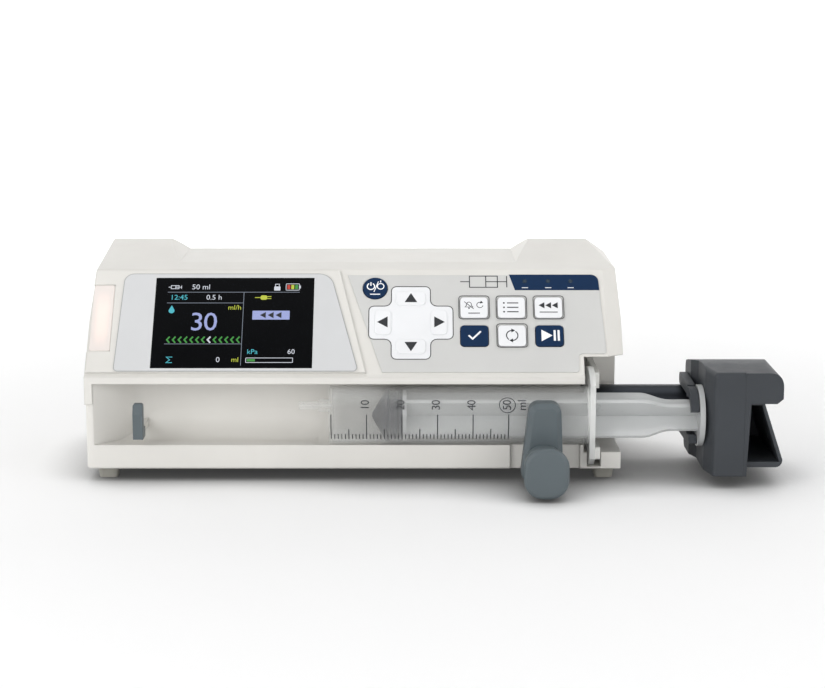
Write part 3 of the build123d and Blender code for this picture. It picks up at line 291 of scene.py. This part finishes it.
class Print:
    """Ink on a surface, as thin closed solids gathered into one piece."""

    def __init__(self, place):
        self.mesh = bmesh.new()
        self.place = place
        self.inks = []

    def pick(self, material):
        if material not in self.inks:
            self.inks.append(material)
        return self.inks.index(material)

    def area(self, outline, material, lift=0.0):
        """A filled outline, given as points across and up in mm."""
        top = [self.mesh.verts.new(self.place(x, y, lift + INK)) for x, y in outline]
        base = [self.mesh.verts.new(self.place(x, y, lift - INK)) for x, y in outline]
        index = self.pick(material)
        faces = [self.mesh.faces.new(top), self.mesh.faces.new(base[::-1])]
        count = len(outline)
        for i in range(count):
            j = (i + 1) % count
            faces.append(self.mesh.faces.new((base[i], base[j], top[j], top[i])))
        for face in faces:
            face.material_index = index

    def line(self, points, width, material, closed=False, lift=0.0):
        """A stroke of constant width along the points, with mitred corners."""
        points = [Vector(p) for p in points]
        count = len(points)
        left, right = [], []
        for i, point in enumerate(points):
            ways = []
            if closed or i:
                ways.append((point - points[i - 1]).normalized())
            if closed or i < count - 1:
                ways.append((points[(i + 1) % count] - point).normalized())
            normals = [Vector((-w.y, w.x)) for w in ways]
            side = sum(normals, Vector((0, 0))).normalized()
            side = side / max(0.5, side.dot(normals[0])) * width / 2
            left.append(point + side)
            right.append(point - side)
        runs = count if closed else count - 1
        for i in range(runs):
            j = (i + 1) % count
            self.area([right[i], right[j], left[j], left[i]], material, lift)

    def text(self, words, x, y, size, material, spacing=1.0):
        """Plain digits and units in the built-in sans face, centred on a point."""
        curve = bpy.data.curves.new("text", "FONT")
        curve.body = words
        curve.size = size
        curve.align_x, curve.align_y = "CENTER", "CENTER"
        curve.space_character = spacing
        curve.resolution_u = 3
        holder = bpy.data.objects.new("text", curve)
        flat = bpy.data.meshes.new_from_object(holder)
        letters = bmesh.new()
        letters.from_mesh(flat)
        bmesh.ops.dissolve_limit(letters, angle_limit=0.01, verts=letters.verts, edges=letters.edges)
        solid = bmesh.ops.extrude_face_region(letters, geom=letters.faces[:])
        raised = {v for v in solid["geom"] if isinstance(v, bmesh.types.BMVert)}
        index = self.pick(material)
        made = {}
        for v in letters.verts:
            level = INK if v in raised else -INK
            made[v] = self.mesh.verts.new(self.place(x + v.co.x, y + v.co.y, level))
        for f in letters.faces:
            self.mesh.faces.new([made[v] for v in f.verts]).material_index = index
        letters.free()
        bpy.data.objects.remove(holder)
        bpy.data.curves.remove(curve)
        bpy.data.meshes.remove(flat)

    def finish(self, name, body):
        bmesh.ops.recalc_face_normals(self.mesh, faces=self.mesh.faces)
        mesh = bpy.data.meshes.new(name)
        self.mesh.to_mesh(mesh)
        self.mesh.free()
        for ink in self.inks:
            mesh.materials.append(ink)
        piece = bpy.data.objects.new(name, mesh)
        bpy.context.collection.objects.link(piece)
        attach(piece, body)


def arc(x, y, radius, start, stop, steps=14):
    """Points along an arc, from one angle to another in degrees."""
    angles = [math.radians(start + (stop - start) * i / steps) for i in range(steps + 1)]
    return [(x + radius * math.cos(a), y + radius * math.sin(a)) for a in angles]


def circle(x, y, radius, steps=24):
    return [(x + radius * math.cos(math.tau * i / steps), y + radius * math.sin(math.tau * i / steps))
            for i in range(steps)]


def rounded(x, y, width, height, radius):
    """A rounded rectangle about a centre."""
    points = []
    for quarter, (sx, sy) in enumerate(((1, 1), (-1, 1), (-1, -1), (1, -1))):
        points += arc(x + sx * (width / 2 - radius), y + sy * (height / 2 - radius), radius,
                      90 * quarter, 90 * (quarter + 1), steps=5)
    return points


def arrow(x, y, size, way):
    """A triangle that points along a direction in degrees."""
    turn = math.radians(way)
    nose, tail, wing = 0.55, -0.45, 0.6
    return [(x + size * (a * math.cos(turn) - b * math.sin(turn)),
             y + size * (a * math.sin(turn) + b * math.cos(turn)))
            for a, b in ((nose, 0.0), (tail, wing), (tail, -wing))]


# ---------------------------------------------------------------- screen
def syringe_icon(ink, x, y, length, material, stroke):
    """A small outline of a syringe that points left."""
    end, body, stopper, half = length / 2, length * 0.3, length * 0.05, length * 0.14
    ink.line([(x - body, y - half), (x + body, y - half), (x + body, y + half), (x - body, y + half)],
             stroke, material, closed=True)
    ink.line([(x - body, y), (x - end, y)], stroke, material)
    ink.line([(x + stopper, y), (x + end, y)], stroke, material)
    for across in (end, stopper):
        ink.line([(x + across, y - half), (x + across, y + half)], stroke, material)


def lock_icon(ink, x, y, material):
    ink.line([(x - 1.0, y + 1.2), (x - 1.0, y + 2.6), (x + 1.0, y + 2.6), (x + 1.0, y + 1.2)], 0.35, material)
    ink.area(rounded(x, y, 3.2, 2.4, 0.3), material)


def battery_icon(ink, x, y, material, cells):
    ink.line(rounded(x, y, 6.8, 3.8, 0.4), 0.32, material, closed=True)
    ink.area(rounded(x + 3.8, y, 0.7, 1.7, 0.1), material)
    for shift, cell in zip((-2.0, 0.0, 2.0), cells):
        ink.area(rounded(x + shift, y, 1.5, 2.6, 0.1), cell)


def plug_icon(ink, x, y, material):
    """A mains plug: a body, two pins and the start of its lead."""
    ink.area(rounded(x - 4.0, y, 3.4, 2.6, 0.9), material)
    for pin in (0.6, -0.6):
        ink.line([(x - 2.4, y + pin), (x - 0.2, y + pin)], 0.4, material)
    ink.line([(x - 8.6, y), (x - 5.6, y)], 0.4, material)


def screen():
    """The lit picture: status row, rate with its flow arrows and total at the left, pressure at the right."""
    face = Face("display_window")
    ink = Print(face.at)
    white = lit("lcd_white", tone(225, 230, 240), 0.85)
    cyan = lit("lcd_cyan", tone(70, 190, 205), 0.9)
    lavender = lit("lcd_lavender", tone(160, 170, 222), 0.95)
    yellow = lit("lcd_yellow", tone(205, 215, 60), 0.85)
    green = lit("lcd_green", tone(60, 160, 60), 0.8)
    red = lit("lcd_red", tone(215, 60, 40), 0.8)
    grey = lit("lcd_grey", tone(140, 150, 165), 0.7)
    black = plastic("lcd_dark", tone(20, 22, 30), bump=0.0, edge=0.0)
    hairline = 0.3
    unit_size, time_size, value_size, rate_size = 3.9, 4.1, 4.2, 15.0

    left, right = -face.width / 2 + 6.3, face.width / 2 - 7.4
    top, bottom = face.height / 2 - 2.6, -face.height / 2 + 1.6
    divide = left + 39.2
    side = (divide + right) / 2
    status_line, time_line, flow_line = top - 6.0, top - 12.4, top - 36.4
    total_row = flow_line - 9.2
    ink.line([(left, status_line), (right, status_line)], hairline, grey)
    ink.line([(left, time_line), (divide, time_line)], hairline, grey)
    ink.line([(left, flow_line), (divide, flow_line)], hairline, grey)
    ink.line([(divide, status_line), (divide, bottom)], hairline, grey)

    syringe_icon(ink, left + 3.6, top - 3.0, 6.6, white, 0.35)
    ink.text("50 ml", left + 17.0, top - 3.0, value_size, white)
    lock_icon(ink, right - 11.6, top - 3.8, white)
    battery_icon(ink, right - 3.7, top - 2.9, white, (red, yellow, green))

    ink.text("12:45", left + 6.0, status_line - 3.2, time_size, cyan)
    ink.text("0.5 h", left + 24.0, status_line - 3.2, time_size, white)
    drop_x, drop_y = left + 2.6, time_line - 4.6
    ink.area([(drop_x, drop_y + 3.2)] + arc(drop_x, drop_y, 1.5, 30, -210), cyan)
    ink.text("ml/h", divide - 4.4, time_line - 2.8, unit_size, yellow)
    ink.text("30", left + 19.4, time_line - 11.6, rate_size, lavender, spacing=0.92)

    arrow_count, bright_arrow, arrow_step = 13, 7, 2.95
    for i in range(arrow_count):
        x = left + 1.6 + i * arrow_step
        ink.line([(x + 1.0, flow_line + 4.2), (x - 0.4, flow_line + 2.4), (x + 1.0, flow_line + 0.6)], 0.8,
                 white if i == bright_arrow else green)

    sum_left, sum_right = left + 1.6, left + 4.6
    ink.line([(sum_right, total_row + 1.6), (sum_left, total_row + 1.6), (left + 3.4, total_row),
              (sum_left, total_row - 1.6), (sum_right, total_row - 1.6)], 0.42, cyan)
    ink.text("0", left + 27.6, total_row, value_size, white)
    ink.text("ml", divide - 3.0, total_row, unit_size, yellow)

    plug_icon(ink, side, status_line - 3.2, yellow)
    running_row = status_line - 13.6
    ink.area(rounded(side, running_row, 19.0, 5.2, 0.3), lavender)
    for shift in (-4.0, 0.0, 4.0):
        ink.area(arrow(side + shift, running_row, 3.0, 180), black, lift=2 * INK)
    ink.text("kPa", divide + 5.6, total_row + 4.6, unit_size, cyan)
    ink.text("60", right - 3.4, total_row + 4.6, unit_size, white)
    ink.line(rounded(side, total_row - 0.2, 23.6, 2.6, 0.2), 0.32, white, closed=True)
    ink.area(rounded(side - 9.2, total_row - 0.2, 4.0, 1.4, 0.1), green)
    ink.finish("screen_image", "case")


def rim(node):
    """The outer edge of a flat sheet's top, as points across and up from its middle in mm."""
    face = Face(node)
    sheet = bmesh.new()
    sheet.from_mesh(frame["nodes"][node].data)
    bmesh.ops.remove_doubles(sheet, verts=sheet.verts, dist=0.001 * MM)
    top = max(v.co.dot(OUT) for v in sheet.verts)
    flat = {f for f in sheet.faces if all(top - v.co.dot(OUT) < 0.01 * MM for v in f.verts)}
    ahead = {}
    for edge in sheet.edges:
        if sum(f in flat for f in edge.link_faces) == 1:
            for a, b in (edge.verts, reversed(edge.verts)):
                ahead.setdefault(a, []).append(b)
    loops = []
    while ahead:
        start, (step, *_) = next(iter(ahead.items()))
        loop = [start]
        while step is not start:
            loop.append(step)
            step = next(v for v in ahead[step] if v is not loop[-2])
        for v in loop:
            del ahead[v]
        loops.append([face.to(v.co) for v in loop])
    sheet.free()
    return max(loops, key=lambda loop: max(x for x, y in loop) - min(x for x, y in loop))


def label_print():
    """A thin grey line just inside the edge of the screen's surround: painted shade along its edge."""
    ink = Print(Face("display_label").at)
    # painted shade drawn as a grey line along the surround's edge
    ink.line(rim("display_label"), 0.3, painted_edge_shade, closed=True)
    ink.finish("label_print", "case")


# ---------------------------------------------------------------- keypad
def underline(ink, y, half, width, material):
    """A dash that stands for a caption."""
    ink.line([(-half, y), (half, y)], width, material)


def clear_mark(ink):
    """A crossed-out bell and a turning arrow."""
    bell = [(-4.6, 0.2), (-4.0, 0.9)] + arc(-2.6, 1.9, 1.2, 180, 0, 8) + [(-1.2, 0.9), (-0.6, 0.2)]
    ink.line(bell, 0.34, dark_ink, closed=True)
    ink.area(circle(-2.6, -0.5, 0.42, 10), dark_ink)
    ink.line([(-5.0, 3.4), (-0.2, -0.9)], 0.34, dark_ink)
    ink.line(arc(3.0, 1.4, 1.6, 60, 350), 0.36, dark_ink)
    ink.area(arrow(3.9, 2.9, 1.5, -20), dark_ink)
    underline(ink, -3.4, 3.0, 0.5, dark_ink)


def menu_mark(ink):
    """Three lines of a list."""
    for level in (-2.6, 0.0, 2.6):
        ink.line([(-2.2, level), (3.6, level)], 0.6, dark_ink)
        ink.area(circle(-3.8, level, 0.5, 10), dark_ink)


def bolus_mark(ink):
    """Three arrows that point along the syringe."""
    for shift in (-3.4, 0.0, 3.4):
        ink.area(arrow(shift, 1.2, 3.0, 180), dark_ink)
    underline(ink, -2.8, 4.6, 0.5, dark_ink)


def mode_mark(ink):
    """Two arrows that chase each other around a ring."""
    ring = 2.9
    for start in (75, 255):
        ink.line(arc(0, 0, ring, start, start + 160), 0.55, dark_ink)
    for side, way in ((1, 0), (-1, 180)):
        ink.area(arrow(0.5 * side, ring * side, 1.9, way), dark_ink)


def ok_mark(ink):
    """A tick."""
    ink.line([(-3.0, 0.1), (-1.0, -2.0), (3.2, 2.4)], 0.9, white_ink)


def start_mark(ink):
    """Start and pause."""
    ink.area(arrow(-1.6, 0, 5.6, 0), white_ink)
    for shift in (2.6, 4.6):
        ink.area(rounded(shift, 0, 1.1, 6.2, 0.15), white_ink)


def power_mark(ink):
    """On and off signs with a stroke between them."""
    ink.line(arc(-2.2, 0.9, 1.9, 120, 420), 0.55, white_ink)
    ink.line([(-2.2, 3.4), (-2.2, 1.2)], 0.55, white_ink)
    ink.line([(-0.6, -2.4), (1.6, 3.8)], 0.42, white_ink)
    ink.line(circle(2.8, 0.9, 1.7, 16), 0.5, white_ink, closed=True)
    ink.line([(2.8, 3.2), (2.8, 4.4)], 0.5, white_ink)
    underline(ink, -3.8, 2.6, 0.55, white_ink)


MARKS = {"clear_key": clear_mark, "menu_key": menu_mark, "bolus_key": bolus_mark, "mode_key": mode_mark,
         "ok_key": ok_mark, "start_key": start_mark, "power_key": power_mark}
BORDERED = ("clear_key", "menu_key", "bolus_key", "mode_key")
ARROW_WAYS = {"up_key": 90, "down_key": 270, "left_key": 180, "right_key": 0}


def key_marks():
    """What is printed on each key, which moves with it."""
    for name in [node for node in frame["nodes"] if node.endswith("_key")]:
        face = Face(name)
        ink = Print(face.at)
        if name in BORDERED:
            ink.line(rounded(0, 0, face.width - 0.5, face.height - 0.5, 1.7), 0.38, dark_ink, closed=True)
        if name in MARKS:
            MARKS[name](ink)
        if name in ARROW_WAYS:
            ink.area(arrow(0, 0, 5.4, ARROW_WAYS[name]), dark_ink)
        ink.finish(name.replace("_key", "_mark"), name)


def keypad_print():
    """The cross printed around the four arrow keys, and a small outline of a syringe as the heading."""
    face = Face("keypad_overlay")
    up, down, left, right = (Face(side + "_key") for side in ("up", "down", "left", "right"))
    centre_x = face.to((left.origin + right.origin) / 2)[0]
    centre_y = face.to((up.origin + down.origin) / 2)[1]
    end_margin, side_margin = 2.0, 1.4
    reach_x = (left.to(right.origin)[0] + right.width) / 2 + end_margin
    reach_y = (down.to(up.origin)[1] + up.height) / 2 + end_margin
    half_x, half_y = up.width / 2 + side_margin, left.height / 2 + side_margin
    corner, inner = 2.6, 3.4
    outline = []
    arms = ((reach_x, half_y, half_x), (reach_y, half_x, half_y)) * 2
    for turn, (far, half, cross_half) in enumerate(arms):
        angle = math.pi / 2 * turn
        cos, sin = round(math.cos(angle)), round(math.sin(angle))
        arm = (arc(far - corner, -half + corner, corner, -90, 0, 4)
               + arc(far - corner, half - corner, corner, 0, 90, 4)
               + arc(cross_half + inner, half + inner, inner, -90, -180, 4))
        outline += [(centre_x + x * cos - y * sin, centre_y + x * sin + y * cos) for x, y in arm]
    ink = Print(face.at)
    ink.area(outline, key_white)
    ink.line(outline, 0.42, dark_ink, closed=True, lift=2 * INK)
    heading_x = face.to(Face("menu_key").origin)[0] - 14.0
    heading_y = face.height / 2 - 4.0
    syringe_icon(ink, heading_x, heading_y, 24.0, dark_ink, 0.5)
    ink.finish("keypad_print", "case")


def lamp_spans():
    """The lamps' extents along X, one pair for each."""
    spots = sorted(v.co.x for v in frame["nodes"]["indicator_leds"].data.vertices)
    groups = [[spots[0], spots[0]]]
    for spot in spots[1:]:
        if spot - groups[-1][1] > 2 * MM:
            groups.append([spot, spot])
        groups[-1][1] = spot
    return groups


def indicator_print():
    """A dash under each lamp."""
    strip = Face("indicator_strip")
    ink = Print(strip.at)
    half, below = 1.6, -3.2
    for low, high in lamp_spans():
        x = ((low + high) / 2 - strip.origin.x) / MM
        ink.line([(x - half, below), (x + half, below)], 0.35, white_ink)
    ink.finish("indicator_print", "case")


# ---------------------------------------------------------------- syringe and clamp
def barrel_scale():
    """Printed marks and digits on the barrel's front."""
    barrel_radius = 14.9
    zero_from_tip = 16.7
    per_ml = 1.778
    low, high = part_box("piston")
    axis_y, axis_z = (low[1] + high[1]) / 2, (low[2] + high[2]) / 2
    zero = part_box("syringe_barrel")[0][0] + zero_from_tip * MM
    degrees_per_mm = math.degrees(1 / barrel_radius)

    def around(x, angle, out):
        """x in mm from the zero mark, angle in degrees above the front."""
        turn = math.radians(angle)
        reach = barrel_radius * MM + out
        return Vector((zero + x * MM, axis_y - reach * math.cos(turn), axis_z + reach * math.sin(turn)))

    def turned(x, y, out):
        """The same surface for words that read along the barrel's girth."""
        return around(-y, x * degrees_per_mm, out)

    ink = Print(around)
    stop, steps = -40.0, 8
    for ml in range(51):
        x = ml * per_ml
        start = 14.0 if ml % 10 == 0 else (-15.0 if ml % 5 == 0 else -27.0)
        edge = 0.24 if ml % 5 else 0.26
        angles = [start + (stop - start) * i / steps for i in range(steps + 1)]
        for a, b in zip(angles, angles[1:]):
            ink.area([(x - edge, a), (x - edge, b), (x + edge, b), (x + edge, a)], scale_ink)

    ink.place = turned
    digit_size, digit_angle, digit_lead = 6.0, 33.0, 0.6
    level = digit_angle / degrees_per_mm
    for ml in (10, 20, 30, 40, 50):
        ink.text(str(ml), level, digit_lead - ml * per_ml, digit_size, scale_ink, spacing=0.9)
    ink.line(circle(level, digit_lead - 50 * per_ml, 4.0, 32), 0.4, scale_ink, closed=True)
    ink.text("ml", level, -50 * per_ml - 6.9, digit_size, scale_ink)
    ink.finish("barrel_scale", "case")


def clamp_spring():
    """The clamp's spring: a copy of its CAD coil that rides on the case in place of the CAD node."""
    mesh = frame["nodes"]["clamp_spring"].data.copy()
    spring = bpy.data.objects.new("clamp_spring_coil", mesh)
    bpy.context.collection.objects.link(spring)
    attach(spring, "case")
    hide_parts("clamp_spring")
    travel = max(joint("clamp_pull")["range_m"])
    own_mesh(spring)


screen()
label_print()
clamp_spring()
key_marks()
keypad_print()
indicator_print()
barrel_scale()


# ---------------------------------------------------------------- camera, light and floor
def camera():
    """In front and a little above, level from side to side, as far off as a product shot is taken."""
    pitch = math.radians(11.0)
    distance, lift = 0.9645, 0.0359
    aim = Vector((-0.010, -0.026, 0.033))
    ahead = Vector((0, math.cos(pitch), -math.sin(pitch)))
    up = Vector((0, math.sin(pitch), math.cos(pitch)))
    data = bpy.data.cameras.new("camera")
    data.sensor_width = 36
    data.lens = 82.9
    eye = bpy.data.objects.new("camera", data)
    eye.location = aim - ahead * distance + up * lift
    eye.rotation_euler = (math.pi / 2 - pitch, 0, 0)
    bpy.context.collection.objects.link(eye)
    bpy.context.scene.camera = eye


def area_light(name, place, aim, size, power):
    data = bpy.data.lights.new(name, "AREA")
    data.shape = "RECTANGLE"
    data.size, data.size_y = size
    data.energy = power
    lamp = bpy.data.objects.new(name, data)
    lamp.location = place
    lamp.rotation_euler = (Vector(aim) - Vector(place)).to_track_quat("-Z", "Y").to_euler()
    bpy.context.collection.objects.link(lamp)


def studio():
    """A large softbox overhead, a strong one at the left, a weak one at the right, and a pale surround."""
    area_light("top_softbox", (0.0, 0.15, 1.3), (0, 0, 0), (1.6, 1.2), 5.8)
    area_light("left_softbox", (-1.1, -1.1, 0.7), (0, 0, 0.05), (0.8, 0.8), 6.0)
    area_light("right_softbox", (1.2, -0.7, 0.9), (0, 0, 0.05), (0.8, 0.8), 2.2)
    world = bpy.data.worlds.new("studio")
    world.use_nodes = True
    settle(world.node_tree.nodes["Background"], Color=(1, 1, 1, 1), Strength=0.36)
    bpy.context.scene.world = world
    bpy.context.scene.view_settings.view_transform = "Standard"


def backdrop_paper():
    """White paper that pales with distance, with painted shade (a contact shadow) that darkens its colour
    where something stands close to it.
    """
    material, tree, bsdf = shader("backdrop_paper")
    link = tree.links.new
    place = add_node(tree, "TexCoord")
    reach = add_node(tree, "VectorMath", operation="LENGTH")
    link(place.outputs["Object"], reach.inputs[0])
    link(spread(tree, reach.outputs["Value"], 0.03, 0.6, 0.15, 1.3, interpolation_type="SMOOTHSTEP"),
         bsdf.inputs["Emission Strength"])
    # painted shade: ambient occlusion darkens the paper's colour near the object, as a contact shadow
    painted_contact_shadow = add_node(tree, "AmbientOcclusion", Distance=0.05, samples=16)
    paper_with_painted_shade = add_node(tree, "ValToRGB")
    dark, pale = paper_with_painted_shade.color_ramp.elements
    # the dark end is the colour of the painted contact shadow
    dark.color, pale.color = (0.10, 0.10, 0.10, 1), (0.88, 0.88, 0.88, 1)
    dark.position, pale.position = 0.15, 0.85
    link(painted_contact_shadow.outputs["AO"], paper_with_painted_shade.inputs["Fac"])
    link(paper_with_painted_shade.outputs["Color"], bsdf.inputs["Base Color"])
    settle(bsdf, Emission_Color=(1, 1, 1, 1), Roughness=0.8)
    return material


def backdrop():
    """A round white sweep: flat under the object, rising at its rim."""
    profile = [(0.6, 0.0), (1.2, 0.0), (1.7, 0.02), (2.2, 0.12), (2.7, 0.38), (3.0, 0.8), (3.1, 1.4),
               (3.15, 2.2)]
    around = 48
    sweep = bmesh.new()
    rings = [[sweep.verts.new((*spot, height)) for spot in circle(0, 0, reach, around)]
             for reach, height in profile]
    hub = sweep.verts.new((0, 0, 0))
    for i in range(around):
        j = (i + 1) % around
        sweep.faces.new((hub, rings[0][i], rings[0][j]))
        for inner, outer in zip(rings, rings[1:]):
            sweep.faces.new((inner[i], outer[i], outer[j], inner[j]))
    for face in sweep.faces:
        face.smooth = True
    mesh = bpy.data.meshes.new("backdrop")
    sweep.to_mesh(mesh)
    sweep.free()
    mesh.materials.append(backdrop_paper())
    floor = bpy.data.objects.new("backdrop", mesh)
    bpy.context.collection.objects.link(floor)


camera()
studio()
backdrop()
